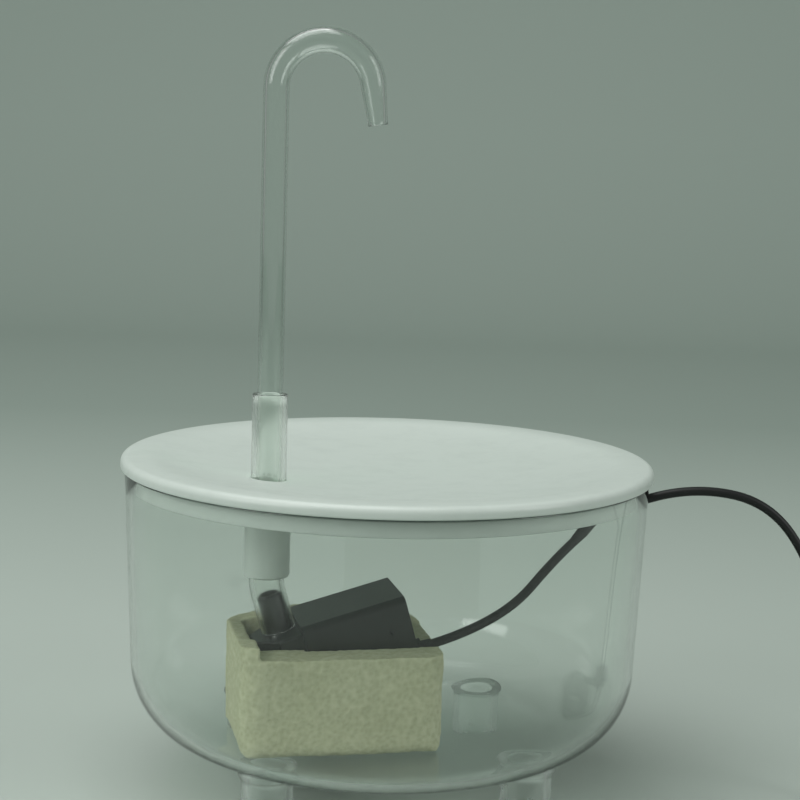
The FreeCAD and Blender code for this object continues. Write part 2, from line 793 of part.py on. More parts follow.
def coil_edges():
    """Half circles from node to node, each tangent to the next, in quarter arcs."""
    nodes = coil_nodes()
    edges = []
    samples = []
    for k in range(len(nodes) - 1):
        a, b = nodes[k], nodes[k + 1]
        way = V(0, -1 if k % 2 == 0 else 1, 0)
        center = (a + b) * 0.5
        r = (b - a).Length / 2
        out = (a - center).normalize()

        def at(t):
            return center + out * (r * math.cos(t)) + way * (r * math.sin(t))

        for q in (0, 1):
            t0 = q * math.pi / 2
            edges.append(Part.Arc(at(t0), at(t0 + math.pi / 4), at(t0 + math.pi / 2)).toShape())
        samples += [at(math.pi * i / coil_samples) for i in range(coil_samples)]
    return edges, samples


def cord_coil():
    """The put-away length as one unbroken tube of flat half turns in two layers."""
    edges, samples = coil_edges()
    wire = Part.Wire(edges)
    start = coil_nodes()[0]
    ring = Part.Wire(Part.makeCircle(lead_radius, start, V(0, -1, 0)))
    tube = wire.makePipeShell([ring], True, False)
    step = sum(e.Length for e in edges) / len(samples)
    apart = int(3 * lead_diameter / step) + 1
    least = min((samples[i] - samples[j]).Length
                for i in range(len(samples)) for j in range(i + apart, len(samples)))
    length = sum(e.Length for e in edges)
    print("coil length", round(length, 1), "least gap to itself", round(least - lead_diameter, 2))
    print("coil volume", round(tube.Volume, 1), "section times length",
          round(math.pi * lead_radius ** 2 * length, 1))
    return tube


def gland_end(further):
    """A point on the gland's axis, at a distance out from the gland's end."""
    x = box_end + end_plate_thickness + gland_length + further
    return pump_placement().multVec(V(x, gland_side, -gland_drop))


def power_cord():
    coil_start = coil_nodes()[0]
    points = [gland_end(0), gland_end(lead_first_run)] + [V(*p) for p in lead_route]
    points += [coil_start + V(0, lead_last_run, 0), coil_start]
    return lead_tube(points, "lead")


def tail_points():
    """From the coil's end, level at first, down to the plug's height and into it."""
    end = coil_nodes()[-1]
    first = end + V(0, tail_first_run, 0)
    low = V(end.x - tail_shift, first.y + tail_middle_run, plug_height / 2)
    return [end, first, low, low + V(0, tail_last_run, 0)]


def plug_origin():
    return tail_points()[-1]


def cord_tail():
    return lead_tube(tail_points(), "tail")


def coil_tie():
    """Flat strap round the coil's turns at the back of the coil."""
    outer = coil_inner_radius + coil_half_turns // 2 * coil_pitch / 2
    y0 = coil_center_y + coil_inner_radius - lead_radius - coil_pitch / 2 - tie_gap
    y1 = coil_center_y + outer + lead_radius + tie_gap
    z0 = tie_thickness
    z1 = coil_lift + coil_layer_step + lead_diameter + tie_gap
    x0 = coil_center_x - tie_width / 2
    x1 = coil_center_x + tie_width / 2
    t = tie_thickness
    strap = box(x0, x1, y0 - t, y1 + t, z0 - t, z1 + t)
    strap = round_edges(strap, tie_corner, lambda e: along(e, 0))
    return strap.cut(box(x0 - spare, x1 + spare, y0, y1, z0, z1))


def plug_body():
    """Moulded grip of the plug with its tapered strain relief."""
    o = plug_origin()
    relief = Part.makeCone(lead_radius + plug_relief_tip_wall, lead_radius + plug_relief_root_wall,
                           plug_relief_length, o, V(0, 1, 0))
    y0 = o.y + plug_relief_length
    grip = box(o.x - plug_width / 2, o.x + plug_width / 2, y0, y0 + plug_length, 0, plug_height)
    grip = round_edges(grip, plug_corner, lambda e: along(e, 1))
    end = y0 + plug_length
    w = plug_shell_width / 2
    h = plug_shell_height / 2
    seat = box(o.x - w, o.x + w, end - plug_seat_depth, end + spare, o.z - h, o.z + h)
    return grip.fuse(relief).cut(seat).removeSplitter()


def plug_mouth():
    """Middle of the plug's seat floor, where the metal shell starts."""
    o = plug_origin()
    return V(o.x, o.y + plug_relief_length + plug_length - plug_seat_depth, o.z)


def plug_shell():
    m = plug_mouth()
    w = plug_shell_width / 2
    h = plug_shell_height / 2
    t = plug_shell_wall
    y1 = m.y + plug_seat_depth + plug_shell_length
    outer = box(m.x - w, m.x + w, m.y, y1, m.z - h, m.z + h)
    inner = box(m.x - w + t, m.x + w - t, m.y - spare, y1 + spare, m.z - h + t, m.z + h - t)
    hole_end = y1 - shell_hole_setback
    holes = []
    for side in (-1, 1):
        x = m.x + side * shell_hole_offset
        holes.append(box(x - shell_hole_width / 2, x + shell_hole_width / 2,
                         hole_end - shell_hole_width, hole_end, m.z, m.z + h + spare))
    return outer.cut([inner] + holes)


def plug_tongue():
    m = plug_mouth()
    w = plug_shell_width / 2 - plug_shell_wall - tongue_side_gap
    low = m.z - plug_shell_height / 2 + plug_shell_wall
    y1 = m.y + plug_seat_depth + plug_shell_length - tongue_setback
    return box(m.x - w, m.x + w, m.y, y1, low, low + tongue_thickness)


def plug_contacts():
    """Four flat contacts side by side on the tongue, one group of solids."""
    m = plug_mouth()
    low = m.z - plug_shell_height / 2 + plug_shell_wall + tongue_thickness
    y0 = m.y + plug_seat_depth
    y1 = y0 + plug_shell_length - contact_setback
    strips = []
    for k in range(contact_count):
        x = m.x + (k - (contact_count - 1) / 2.0) * contact_pitch
        strips.append(box(x - contact_width / 2, x + contact_width / 2, y0, y1,
                          low, low + contact_thickness))
    return Part.makeCompound(strips)


def save(name, shape):
    solids = shape.Solids
    if len(solids) == 1:
        shape = solids[0]
    b = shape.BoundBox
    print(f"{name:18} solids {len(solids)} valid {shape.isValid()} volume {shape.Volume:9.1f}"
          f"  x {b.XMin:7.1f} {b.XMax:7.1f}  y {b.YMin:7.1f} {b.YMax:7.1f}"
          f"  z {b.ZMin:7.1f} {b.ZMax:7.1f}")
    shape.exportStep(f"parts/{name}.step")


os.makedirs("parts", exist_ok=True)
foot_names = ["foot_rear_right", "foot_rear_left", "foot_front_left", "foot_front_right"]
save("bowl", bowl())
for number, foot_name in enumerate(foot_names):
    save(foot_name, foot(number))
save("lid_tray", lid_tray())
save("spout_tube", spout_tube())
save("delivery_hose", delivery_hose())
save("volute_cover", volute_cover())
save("inlet_grille", inlet_grille())
save("front_bush", front_bush())
save("rear_bush", rear_bush())
save("impeller_shaft", impeller_shaft())
save("impeller", impeller())
save("impeller_magnet", impeller_magnet())
save("pump_housing", pump_housing())
save("pump_end_plate", pump_end_plate())
save("cover_seal", cover_seal())
save("stator_core", stator_core())
save("stator_coil_front", stator_coil(-1))
save("stator_coil_rear", stator_coil(1))
save("driver_board", driver_board())
save("cable_gland", cable_gland())
save("filter_sponge", filter_sponge())
save("power_cord", power_cord())
save("cord_coil", cord_coil())
save("cord_tail", cord_tail())
save("coil_tie", coil_tie())
save("plug_body", plug_body())
save("plug_shell", plug_shell())
save("plug_tongue", plug_tongue())
save("plug_contacts", plug_contacts())

place = pump_placement()
axis_point = place.multVec(V(0, 0, -axis_drop))
axis_way = place.Rotation.multVec(V(1, 0, 0))
print("rotor axis through", [round(v, 3) for v in axis_point], "along", [round(v, 5) for v in axis_way])
print("nozzle foot", [round(v, 2) for v in place.Base], "gland end", [round(v, 2) for v in gland_end(0)])
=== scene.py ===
import math
import bpy
from mathutils import Matrix, Vector


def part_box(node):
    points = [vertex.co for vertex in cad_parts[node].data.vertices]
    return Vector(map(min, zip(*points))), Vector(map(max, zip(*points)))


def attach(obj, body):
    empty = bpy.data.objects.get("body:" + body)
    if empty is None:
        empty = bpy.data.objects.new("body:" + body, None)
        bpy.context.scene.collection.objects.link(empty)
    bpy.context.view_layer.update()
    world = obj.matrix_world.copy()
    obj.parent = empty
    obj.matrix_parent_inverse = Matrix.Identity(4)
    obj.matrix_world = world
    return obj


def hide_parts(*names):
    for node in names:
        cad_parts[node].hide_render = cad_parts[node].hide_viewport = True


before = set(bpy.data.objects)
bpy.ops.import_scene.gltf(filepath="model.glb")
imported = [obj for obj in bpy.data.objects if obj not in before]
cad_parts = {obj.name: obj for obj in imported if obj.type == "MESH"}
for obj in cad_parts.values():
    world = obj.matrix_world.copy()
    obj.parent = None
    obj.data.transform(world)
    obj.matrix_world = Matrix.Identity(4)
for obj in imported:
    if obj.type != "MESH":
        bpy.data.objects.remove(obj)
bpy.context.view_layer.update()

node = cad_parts
MM = 0.001

# Bowl: one clear moulding with a straight leaning wall, a large rounded corner and a
# rounded rim, notched on the right for the lead. Injection moulded in clear plastic,
# so it is smooth and bright, with faint ripples and scuffs. Its rim is tinted dark,
# painted shade for the gap under the lid and the dark look of a clear rim edge-on.
bowl_low, bowl_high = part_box("bowl")
rim_z = bowl_high.z
bowl_foot_z = bowl_low.z
rim_radius = 100.0 * MM
bowl_wall = 2.5 * MM
bowl_floor = 3.0 * MM
bowl_lean = math.radians(2.3)
bowl_corner = 30.0 * MM
rim_round = 0.7 * MM
notch_radius = 2.35 * MM
notch_depth = 12.5 * MM
notch_cut_length = 12.0 * MM
notch_sides = 48
around = 192
corner_steps = 20
wall_steps = 8
rim_steps = 4
merge_gap = 0.002 * MM
edge_angle = math.radians(35)


def deselect():
    bpy.ops.object.select_all(action="DESELECT")


def draw_line(name, points):
    """A chain of edges through points (x, z), drawn by extruding one corner."""
    deselect()
    bpy.ops.mesh.primitive_plane_add(size=MM)
    piece = bpy.context.object
    piece.name = piece.data.name = name
    bpy.ops.object.mode_set(mode="EDIT")
    bpy.ops.mesh.merge(type="CENTER")
    bpy.ops.transform.translate(value=(points[0][0], 0, points[0][1]))
    for a, b in zip(points, points[1:]):
        step = (b[0] - a[0], 0, b[1] - a[1])
        bpy.ops.mesh.extrude_region_move(TRANSFORM_OT_translate={"value": step})
    return piece


def close_up(piece):
    """Merges doubles, turns the faces outwards and smooths all but the sharp edges."""
    bpy.ops.mesh.select_all(action="SELECT")
    bpy.ops.mesh.remove_doubles(threshold=merge_gap)
    bpy.ops.mesh.normals_make_consistent(inside=False)
    bpy.ops.object.mode_set(mode="OBJECT")
    bpy.ops.object.shade_smooth_by_angle(angle=edge_angle)
    return piece


def turn_profile(name, points, steps=around, place=(0, 0)):
    """A closed turned piece from its half section, moved to its place in edit mode."""
    piece = draw_line(name, points)
    bpy.ops.mesh.select_all(action="SELECT")
    bpy.ops.mesh.spin(steps=steps, angle=2 * math.pi, center=(0, 0, 0), axis=(0, 0, 1))
    bpy.ops.mesh.select_all(action="SELECT")
    bpy.ops.transform.translate(value=(place[0], place[1], 0))
    return close_up(piece)


def arc_points(center, radius, start, end, steps):
    """Points of an arc in the XZ plane, between two angles in degrees."""
    angles = [math.radians(start + (end - start) * k / steps) for k in range(steps + 1)]
    return [(center[0] + radius * math.cos(a), center[1] + radius * math.sin(a)) for a in angles]


def add_modifier(piece, kind, **settings):
    """Adds a modifier with its settings and applies it."""
    deselect()
    piece.select_set(True)
    bpy.context.view_layer.objects.active = piece
    modifier = piece.modifiers.new(kind.title(), kind)
    for key, value in settings.items():
        setattr(modifier, key, value)
    bpy.ops.object.modifier_apply(modifier=modifier.name)


def carve(piece, cutters, operation="DIFFERENCE"):
    """Cuts or joins the cutters into a piece, and removes them."""
    for cutter in cutters:
        add_modifier(piece, "BOOLEAN", object=cutter, operation=operation, solver="EXACT")
        bpy.data.objects.remove(cutter)
    deselect()
    piece.select_set(True)
    bpy.context.view_layer.objects.active = piece
    bpy.ops.object.shade_smooth_by_angle(angle=edge_angle)


def select_by(piece, test):
    """Selects the vertices that pass a test, with their edges and faces, in edit mode."""
    for vertex in piece.data.vertices:
        vertex.select = test(vertex.co)
    for parts in (piece.data.edges, piece.data.polygons):
        for part in parts:
            part.select = all(piece.data.vertices[v].select for v in part.vertices)
    bpy.ops.object.mode_set(mode="EDIT")


def corner_line(wall_in, floor_up, radius):
    """The rounded corner of one face of the bowl, from its floor to the foot of its wall."""
    corner_z = bowl_foot_z + floor_up + radius
    wall_x = rim_radius - wall_in / math.cos(bowl_lean) - (rim_z - corner_z) * math.tan(bowl_lean)
    center = (wall_x - radius / math.cos(bowl_lean), corner_z)
    return arc_points(center, radius, -90, -math.degrees(bowl_lean), corner_steps)


def wall_line(foot, top):
    """Evenly spaced points up a straight wall, without its foot."""
    return [(foot[0] + (top[0] - foot[0]) * k / wall_steps, foot[1] + (top[1] - foot[1]) * k / wall_steps)
            for k in range(1, wall_steps + 1)]


def bowl_outside(high):
    """The bowl's outer face as a line from the axis up to a height."""
    corner = corner_line(0, 0, bowl_corner)
    top_x = rim_radius + (high - rim_z) * math.tan(bowl_lean)
    return [(0, bowl_foot_z)] + corner + wall_line(corner[-1], (top_x, high))


inner_corner = corner_line(bowl_wall, bowl_floor, bowl_corner - bowl_wall)
inner_rim_x = rim_radius - bowl_wall / math.cos(bowl_lean)
rim_arc = arc_points((rim_radius - rim_round, rim_z - rim_round), rim_round, 0, 90, rim_steps)
rim_arc += arc_points((inner_rim_x + rim_round, rim_z - rim_round), rim_round, 90, 180, rim_steps)
section = bowl_outside(rim_z - rim_round) + rim_arc
inner_wall = wall_line(inner_corner[-1], (inner_rim_x, rim_z - rim_round))
section += list(reversed(inner_corner + inner_wall[:-1]))
section.append((0, bowl_foot_z + bowl_floor))
bowl = turn_profile("clear_bowl", section)

notch_z = rim_z - notch_depth + notch_radius
deselect()
bpy.ops.mesh.primitive_cylinder_add(vertices=notch_sides, radius=notch_radius, depth=notch_cut_length,
                                    location=(rim_radius, 0, notch_z), rotation=(0, math.pi / 2, 0))
notch = bpy.context.object
bpy.ops.object.transform_apply(location=True, rotation=True, scale=True)
select_by(notch, lambda place: place.z > notch_z - merge_gap)
bpy.ops.mesh.extrude_region_move(TRANSFORM_OT_translate={"value": (0, 0, notch_depth)})
bpy.ops.object.mode_set(mode="OBJECT")
carve(bowl, [notch])


def linear(text):
    """A colour written as an sRGB hex value, turned to linear light."""
    parts = [int(text[k:k + 2], 16) / 255 for k in (1, 3, 5)]
    return [v / 12.92 if v <= 0.04045 else ((v + 0.055) / 1.055) ** 2.4 for v in parts] + [1.0]


def add_node(material, kind, inputs=None, **settings):
    """Adds a node to a material, feeds its sockets and sets it up."""
    tree = material.node_tree
    made = tree.nodes.new("ShaderNode" + kind)
    for key, value in settings.items():
        setattr(made, key, value)
    for key, value in (inputs or {}).items():
        if isinstance(value, bpy.types.NodeSocket):
            tree.links.new(value, made.inputs[key])
        else:
            made.inputs[key].default_value = value
    return made


def new_finish(name):
    """An empty node material and the coordinates that its patterns use."""
    material = bpy.data.materials.new(name)
    material.use_nodes = True
    material.node_tree.nodes.clear()
    place = add_node(material, "TexCoord").outputs["Object"]
    return material, place


def let_light_in(material, glass, tint):
    """Lets lamps shine through a clear wall, as thin clear walls do, onto what it holds."""
    path = add_node(material, "LightPath")
    clear = add_node(material, "BsdfTransparent", {"Color": linear(tint)})
    return add_node(material, "MixShader", {
        0: path.outputs["Is Shadow Ray"], 1: glass.outputs[0], 2: clear.outputs[0]})


scuff_size = 9.0 * MM
ripple_height = 0.2 * MM
# Painted rim shade: the tint starts to darken this far below the rim and is fully dark at the next.
rim_shade_from = 1.2 * MM
rim_shade_full = 0.5 * MM


def clear_wall(name, tint, ior, rough, ripple_size, ripple, painted_rim_shade=None):
    """Clear wall: see-through, faintly rippled and scuffed, maybe with painted shade tinting its rim dark.
    """
    material, place = new_finish(name)
    scuffs = add_node(material, "TexNoise", {
        "Vector": place, "Scale": 1 / scuff_size, "Detail": 6.0, "Roughness": 0.7})
    roughness = add_node(material, "MapRange", {
        "Value": scuffs.outputs["Fac"], "To Min": rough[0], "To Max": rough[1]})
    waves = add_node(material, "TexNoise", {
        "Vector": place, "Scale": 1 / ripple_size, "Detail": 1.0})
    bump = add_node(material, "Bump", {
        "Strength": ripple, "Distance": ripple_height, "Height": waves.outputs["Fac"]})
    colour = linear(tint)
    # Painted shade: the tint turns dark over the top of the wall, just below the rim.
    if painted_rim_shade:
        height = add_node(material, "SeparateXYZ", {"Vector": place}).outputs["Z"]
        rim_shade_mask = add_node(material, "MapRange", {
            "Value": height, "From Min": rim_z - rim_shade_from, "From Max": rim_z - rim_shade_full})
        colour = add_node(material, "Mix", {
            "Factor": rim_shade_mask.outputs[0], 6: linear(tint), 7: linear(painted_rim_shade)},
            data_type="RGBA").outputs[2]
    glass = add_node(material, "BsdfPrincipled", {
        "Base Color": colour, "IOR": ior, "Transmission Weight": 1.0,
        "Normal": bump.outputs["Normal"], "Roughness": roughness.outputs[0]})
    lit = let_light_in(material, glass, tint)
    add_node(material, "OutputMaterial", {"Surface": lit.outputs[0]})
    return material


def dress(piece, material, body="root", replaced=()):
    """Gives a piece its finish, its body and the node that it stands for."""
    piece.data.materials.clear()
    piece.data.materials.append(material)
    if piece.name not in node:
        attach(piece, body)
        if replaced:
            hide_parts(*replaced)


# The bowl's rim gets painted shade in this dark tint.
clear_plastic = clear_wall("moulded_clear_plastic", "#F6F9F7", ior=1.43, rough=(0.0, 0.03),
                           ripple_size=30 * MM, ripple=0.05, painted_rim_shade="#4A554F")
dress(bowl, clear_plastic, "root", ["bowl"])

# Feet: four short lengths of clear tube, cut to the bowl's rounded underside and
# bonded to it with a small flare. Their lower ends are cut square and rounded off.
foot_radius = 9.5 * MM
foot_bore = 6.8 * MM
foot_flare = 10.7 * MM
foot_flare_height = 3.0 * MM
foot_flare_bow = [(0.25, 1.4 * MM), (0.6, 2.3 * MM)]
foot_round = 0.5 * MM
foot_round_steps = 3
foot_sides = 64
foot_spare = 2.0 * MM
foot_bond = 0.04 * MM
under_sides = 96
foot_names = ["foot_rear_right", "foot_rear_left", "foot_front_left", "foot_front_right"]
bonded_tube = clear_wall("sawn_clear_tube", "#F7FAF8", ior=1.49, rough=(0.16, 0.34),
                         ripple_size=10 * MM, ripple=0.10)
bowl_body = [(x, z - foot_bond) for x, z in bowl_outside(rim_z)] + [(0, rim_z - foot_bond)]

for foot_name in foot_names:
    low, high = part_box(foot_name)
    middle = (low + high) / 2
    flare_low = bowl_foot_z - foot_flare_height
    top = high.z + foot_spare
    section = arc_points((foot_bore + foot_round, foot_round), foot_round, 180, 270, foot_round_steps)
    section += arc_points((foot_radius - foot_round, foot_round), foot_round, 270, 360, foot_round_steps)
    section += [(foot_radius, flare_low)]
    for share, height in foot_flare_bow:
        section += [(foot_radius + share * (foot_flare - foot_radius), flare_low + height)]
    section += [(foot_flare, flare_low + foot_flare_height), (foot_flare, top), (foot_bore, top)]
    section += [(foot_bore, foot_round)]
    foot = turn_profile(foot_name + "_tube", section, foot_sides, (middle.x, middle.y))
    carve(foot, [turn_profile("bowl_body", bowl_body, under_sides)])
    dress(foot, bonded_tube, "root", [foot_name])

# Sponge: a hand-cut block of open-cell cream filter foam with a pocket for the pump.
# The cut faces are a little uneven, and the pores, which are about a millimetre wide in
# the real foam, are drawn wider so that they show.
foam_voxel = 0.75 * MM
foam_pore = 1.8 * MM
foam_pore_depth = 0.32 * MM
foam_wave = 14.0 * MM
foam_wave_depth = 0.5 * MM
foam_merge_gap = 0.001 * MM
foam_cell = 1.1 * MM
foam_cell_depth = 0.25 * MM
foam_stain = 22.0 * MM

deselect()
sponge = node["filter_sponge"].copy()
sponge.data = node["filter_sponge"].data.copy()
for key in list(sponge.keys()):
    del sponge[key]
sponge.name = sponge.data.name = "cream_sponge"
sponge.parent = None
bpy.context.scene.collection.objects.link(sponge)
sponge.select_set(True)
bpy.context.view_layer.objects.active = sponge
bpy.ops.object.mode_set(mode="EDIT")
bpy.ops.mesh.select_all(action="SELECT")
bpy.ops.mesh.remove_doubles(threshold=foam_merge_gap)
bpy.ops.object.mode_set(mode="OBJECT")
add_modifier(sponge, "REMESH", mode="VOXEL", voxel_size=foam_voxel)
add_modifier(sponge, "SMOOTH", factor=0.5, iterations=4)
wave = bpy.data.textures.new("sponge_cut", "CLOUDS")
wave.noise_scale = foam_wave
add_modifier(sponge, "DISPLACE", texture=wave, texture_coords="LOCAL", strength=2 * foam_wave_depth,
             mid_level=0.6)
cut_places = [v.co.copy() for v in sponge.data.vertices]
pores = bpy.data.textures.new("sponge_pores", "VORONOI")
pores.noise_scale = foam_pore
pores.distance_metric = "DISTANCE"
pores.noise_intensity = 1.0
add_modifier(sponge, "DISPLACE", texture=pores, texture_coords="LOCAL", strength=foam_pore_depth,
             mid_level=1.0)
depth = [(v.co - cut).length / foam_pore_depth for v, cut in zip(sponge.data.vertices, cut_places)]
layer = sponge.data.attributes.new("pore_depth", "FLOAT", "POINT")
layer.data.foreach_set("value", depth)
bpy.ops.object.shade_smooth()


def foam():
    """Open-cell foam: matt cream, with painted shade that darkens it down in the pores."""
    material, place = new_finish("open_cell_foam")
    pore = add_node(material, "Attribute", attribute_name="pore_depth").outputs["Fac"]
    fine = add_node(material, "TexVoronoi", {"Vector": place, "Scale": 1 / foam_cell})
    stain = add_node(material, "TexNoise", {
        "Vector": place, "Scale": 1 / foam_stain, "Detail": 3.0})
    stained = add_node(material, "MapRange", {
        "Value": stain.outputs["Fac"], "To Min": 0.0, "To Max": 0.5})
    # Painted shade: the colour darkens from the cell edges down into the pores, by their depth.
    edges = add_node(material, "ValToRGB", {"Fac": pore})
    edges.color_ramp.elements[0].color = linear("#C5C8AB")
    edges.color_ramp.elements[1].color = linear("#ACAF91")
    edges.color_ramp.elements[0].position = 0.15
    edges.color_ramp.elements[1].position = 0.95
    worn = add_node(material, "Mix", {
        "Factor": stained.outputs[0], 6: edges.outputs["Color"], 7: linear("#CCCEB6")},
        data_type="RGBA", blend_type="MULTIPLY")
    bump = add_node(material, "Bump", {
        "Strength": 0.45, "Distance": foam_cell_depth, "Height": fine.outputs["Distance"]})
    shader = add_node(material, "BsdfPrincipled", {
        "Base Color": worn.outputs[2], "Roughness": 0.95, "IOR": 1.3,
        "Normal": bump.outputs["Normal"]})
    add_node(material, "OutputMaterial", {"Surface": shader.outputs[0]})
    return material


dress(sponge, foam(), "root", ["filter_sponge"])

# Pump: a small submersible pump, its housing, end plate, nose cover and inlet grille
# moulded in black plastic with a fine spark-eroded grain and faint, paler rubbed patches.
rub_size = 13.0 * MM
rub_polish = 0.08
rub_roughen = 0.1
grain_height = 0.08 * MM


def moulded(name, colour, worn_colour, grain_size, grain, rough, specular=0.5):
    """Moulded, extruded or ground piece: even colour, a fine grain and paler rubbed patches.

    A real eroded grain is near 0.1 mm. Each grain here is drawn coarse enough to show.
    """
    material, place = new_finish(name)
    grit = add_node(material, "TexNoise", {
        "Vector": place, "Scale": 1 / grain_size, "Detail": 3.0})
    rubbed = add_node(material, "TexNoise", {
        "Vector": place, "Scale": 1 / rub_size, "Detail": 5.0, "Roughness": 0.65})
    patches = add_node(material, "MapRange", {
        "Value": rubbed.outputs["Fac"], "From Min": 0.45, "From Max": 0.75})
    roughness = add_node(material, "MapRange", {
        "Value": rubbed.outputs["Fac"], "To Min": rough - rub_polish, "To Max": rough + rub_roughen})
    colours = add_node(material, "Mix", {
        "Factor": patches.outputs[0], 6: linear(colour), 7: linear(worn_colour)}, data_type="RGBA")
    bump = add_node(material, "Bump", {
        "Strength": grain, "Distance": grain_height, "Height": grit.outputs["Fac"]})
    shader = add_node(material, "BsdfPrincipled", {
        "Base Color": colours.outputs[2], "Specular IOR Level": specular,
        "Roughness": roughness.outputs[0], "Normal": bump.outputs["Normal"]})
    add_node(material, "OutputMaterial", {"Surface": shader.outputs[0]})
    return material


black_plastic = moulded("eroded_black_plastic", "#0B0F0D", "#161C19",
                        grain_size=0.45 * MM, grain=0.35, rough=0.30)
for name in ("pump_housing", "pump_end_plate", "volute_cover", "inlet_grille"):
    dress(node[name], black_plastic)

# Inside the pump: white moulded impeller on a bonded ferrite magnet, a ground ceramic
# shaft in two rubber bushes, a laminated steel core with two enamelled copper coils,
# and a green circuit board above them.
line_height = 0.1 * MM


def lined_metal(name, colour, rough, line_size, along_axis="X"):
    """Metal with fine parallel lines, as stacked sheets, wound wire or drawn strip have."""
    material, place = new_finish(name)
    marks = add_node(material, "TexWave", {
        "Vector": place, "Scale": 1 / line_size / math.tau, "Distortion": 0.4, "Detail": 1.0},
        bands_direction=along_axis)
    bump = add_node(material, "Bump", {
        "Strength": 0.5, "Distance": line_height, "Height": marks.outputs["Fac"]})
    shade = add_node(material, "Mix", {
        "Factor": 0.5, 6: linear(colour), 7: marks.outputs["Color"]},
        data_type="RGBA", blend_type="MULTIPLY")
    shader = add_node(material, "BsdfPrincipled", {
        "Base Color": shade.outputs[2], "Metallic": 1.0, "Roughness": rough,
        "Normal": bump.outputs["Normal"]})
    add_node(material, "OutputMaterial", {"Surface": shader.outputs[0]})
    return material


inner_finish = {
    "impeller": moulded("moulded_impeller_plastic", "#E4E6E2", "#D2D5D0",
                        grain_size=0.8 * MM, grain=0.2, rough=0.35),
    "impeller_magnet": moulded("bonded_ferrite", "#2C2D2F", "#3C3D40",
                               grain_size=0.35 * MM, grain=0.8, rough=0.6),
    "impeller_shaft": moulded("ground_ceramic", "#EFEDE6", "#E2DFD6",
                              grain_size=0.2 * MM, grain=0.1, rough=0.2),
    "front_bush": moulded("moulded_rubber_bush", "#3C3D40", "#494B4D",
                          grain_size=0.4 * MM, grain=0.4, rough=0.7),
    "stator_core": lined_metal("laminated_steel", "#8C8F93", rough=0.4, line_size=0.5 * MM, along_axis="Z"),
    "stator_coil_front": lined_metal("enamelled_copper", "#B5683A", rough=0.3, line_size=0.4 * MM),
    "driver_board": moulded("green_solder_mask", "#1E5A38", "#2A6B45",
                            grain_size=0.9 * MM, grain=0.2, rough=0.3),
    "cover_seal": moulded("moulded_seal_rubber", "#1D1E1E", "#2A2B2B",
                          grain_size=0.4 * MM, grain=0.3, rough=0.6),
}
inner_finish["rear_bush"] = inner_finish["front_bush"]
inner_finish["stator_coil_rear"] = inner_finish["stator_coil_front"]
for name, material in inner_finish.items():
    dress(node[name], material)

# Lid: a white moulded tray, satin smooth. Its dished floor holds the water that the
# spout lets fall, a lip keeps it inside the rim, and a socket below takes the hose.
lid_low, lid_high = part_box("lid_tray")
lid_radius = lid_high.x
land_z = lid_high.z
lid_skin = 2.4 * MM
lid_land = 94.0 * MM
lid_edge_round = 2.6 * MM
lid_foot_round = 0.6 * MM
dish_floor = 60.0 * MM
dish_rise = 3.1 * MM
dish_depth = 8.0 * MM
dish_shoulder = 86.0 * MM
dish_shoulder_drop = 1.0 * MM
dish_wall_bow = 0.40
dish_roll_bow = 0.25
dish_floor_steps = 16
dish_wall_steps = 12
dish_roll_steps = 6
lip_depth = 7.0 * MM
lip_thickness = 2.0 * MM
lip_gap = 0.4 * MM
lip_round = 0.5 * MM
lip_root = 0.3 * MM
lid_edge_steps = 8
lid_foot_steps = 4
lip_steps = 3
spout_low, spout_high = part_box("spout_tube")
spout_x = -44.0 * MM
spout_y = (spout_low.y + spout_high.y) / 2


def arc_through(a, b, c, steps):
    """Points of the arc from a through b to c, in the XZ plane."""
    ax, az, bx, bz, cx, cz = *a, *b, *c
    d = 2 * (ax * (bz - cz) + bx * (cz - az) + cx * (az - bz))
    x = ((ax**2 + az**2) * (bz - cz) + (bx**2 + bz**2) * (cz - az) + (cx**2 + cz**2) * (az - bz)) / d
    z = ((ax**2 + az**2) * (cx - bx) + (bx**2 + bz**2) * (ax - cx) + (cx**2 + cz**2) * (bx - ax)) / d
    radius = math.hypot(ax - x, az - z)
    angles = [math.degrees(math.atan2(p[1] - z, p[0] - x)) for p in (a, b, c)]
    turns = [angles[0]]
    for value in angles[1:]:
        while value - turns[-1] > 180:
            value -= 360
        while value - turns[-1] < -180:
            value += 360
        turns.append(value)
    return arc_points((x, z), radius, turns[0], turns[2], steps)


def dish_line(drop):
    """The dished top of the lid from its axis to its land, lowered by drop."""
    low = land_z - dish_depth - drop
    foot = (dish_floor, low + dish_rise)
    shoulder = (dish_shoulder, land_z - drop - dish_shoulder_drop)
    land = (lid_land, land_z - drop)
    wall_middle = ((dish_floor + dish_shoulder) / 2,
                   foot[1] + dish_wall_bow * (shoulder[1] - foot[1]))
    roll_middle = ((dish_shoulder + lid_land) / 2, land[1] - dish_roll_bow * dish_shoulder_drop)
    floor_line = arc_through((0, low), (dish_floor / 2, low + dish_rise / 4), foot, dish_floor_steps)
    wall = arc_through(foot, wall_middle, shoulder, dish_wall_steps)
    roll = arc_through(shoulder, roll_middle, land, dish_roll_steps)
    return floor_line + wall[1:] + roll[1:]


lip_outer = rim_radius - bowl_wall / math.cos(bowl_lean) - lip_depth * math.tan(bowl_lean) - lip_gap
lip_inner = lip_outer - lip_thickness
lip_low = rim_z - lip_depth
under_z = land_z - lid_skin
section = dish_line(0)
section += arc_points((lid_radius - lid_edge_round, land_z - lid_edge_round),
                      lid_edge_round, 90, 0, lid_edge_steps)
section += arc_points((lid_radius - lid_foot_round, rim_z + lid_foot_round),
                      lid_foot_round, 0, -90, lid_foot_steps)
section += [(lip_outer + lip_root, rim_z), (lip_outer, rim_z - lip_root)]
section += arc_points((lip_outer - lip_round, lip_low + lip_round), lip_round, 0, -90, lip_steps)
section += arc_points((lip_inner + lip_round, lip_low + lip_round), lip_round, -90, -180, lip_steps)
section += [(lip_inner, under_z), (lid_land, under_z)]
section += list(reversed(dish_line(lid_skin)))[1:]
lid = turn_profile("white_lid_tray", section)

